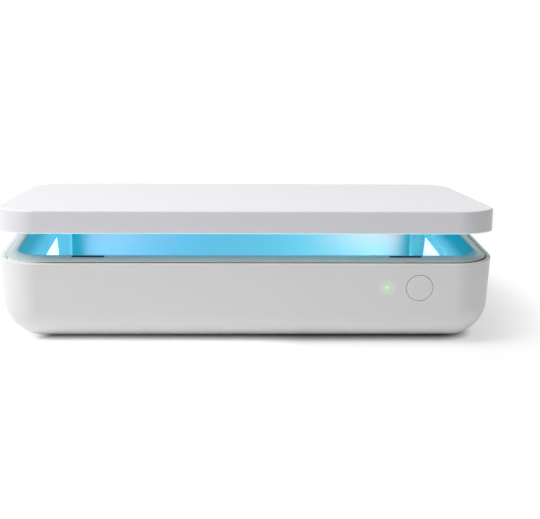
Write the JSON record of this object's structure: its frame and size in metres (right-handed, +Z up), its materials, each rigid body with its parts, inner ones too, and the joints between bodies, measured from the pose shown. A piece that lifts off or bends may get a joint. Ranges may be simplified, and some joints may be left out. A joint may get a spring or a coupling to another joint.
{
  "type": "uv sanitizer box",
  "caption": "Low rounded ultraviolet sanitizer box for phones, with a flat hinged lid standing ajar, a lit white chamber with a charging pad, and a power button on the front.",
  "frame": {"origin": "middle of the footprint, on the surface under the feet", "axes": "+X to the right along the width, +Y from the front with the button to the hinged rear, +Z up"},
  "size_m": [0.228, 0.1286, 0.063],
  "materials": {
    "shell_white": "satin moulded",
    "bezel_grey": "satin",
    "chamber_white": "gloss moulded",
    "lamp_window": "frosted",
    "lamp_glass": "clear",
    "lamp_plastic": "moulded",
    "reflector": "bright",
    "pad_grey": "fine texture",
    "rubber_grey": "matte",
    "rubber_dark": "matte",
    "copper": "enamelled wire",
    "ferrite": "sintered",
    "board_green": "satin",
    "component_black": "moulded",
    "transformer_yellow": "taped",
    "steel": "plain",
    "light_green": "clear",
    "magnet_nickel": "plated",
    "lead_black": "smooth"
  },
  "bodies": {
    "tub": {"base_shell": "shell_white", "bezel_frame": "bezel_grey", "chamber_tray": "chamber_white", "charging_pad": "pad_grey", "grip_ring": "rubber_grey", "charging_coil": "copper", "coil_ferrite": "ferrite", "end_lamp_windows": "lamp_window", "end_lamp_tubes": "lamp_glass", "end_lamp_sockets": "lamp_plastic", "end_lamp_reflectors": "reflector", "end_lamp_cradles": "lamp_plastic", "main_board": "board_green", "main_board_parts": "component_black", "driver_board": "board_green", "driver_parts": "transformer_yellow", "inlet_board": "board_green", "power_inlet": "steel", "button_board": "board_green", "button_switch": "component_black", "status_led": "light_green", "light_pipe": "light_green", "lid_sensor": "component_black", "rim_bumpers": "rubber_dark", "hinge_brackets": "steel", "hinge_washers": "steel", "rubber_feet": "rubber_dark", "case_screws": "steel", "board_screws": "steel", "bracket_screws": "steel", "lamp_lead_base": "lead_black"},
    "lid": {"lid_shell": "shell_white", "lid_inner_panel": "chamber_white", "lid_lamp_window": "lamp_window", "lid_lamp_tube": "lamp_glass", "lid_lamp_sockets": "lamp_plastic", "lid_lamp_reflector": "reflector", "lid_lamp_cradle": "lamp_plastic", "lid_seal": "rubber_grey", "lid_hinge_leaves": "steel", "hinge_pins": "steel", "panel_screws": "steel", "leaf_screws": "steel", "lid_magnet": "magnet_nickel", "lamp_lead_lid": "lead_black"},
    "button": {"power_button": "shell_white", "switch_plunger": "component_black"}
  },
  "joints": [
    {"name": "lid_hinge", "type": "hinge", "parent": "tub", "child": "lid", "pos_m": [0, 0.061, 0.0433], "axis": [-1, 0, 0], "range_deg": [-5.9, 84.1]},
    {"name": "button_press", "type": "slide", "parent": "tub", "child": "button", "axis": [0, 1, 0], "range_m": [0, 0.0004], "stiffness_N_per_m": 1500, "springref_m": -0.0003}
  ]
}
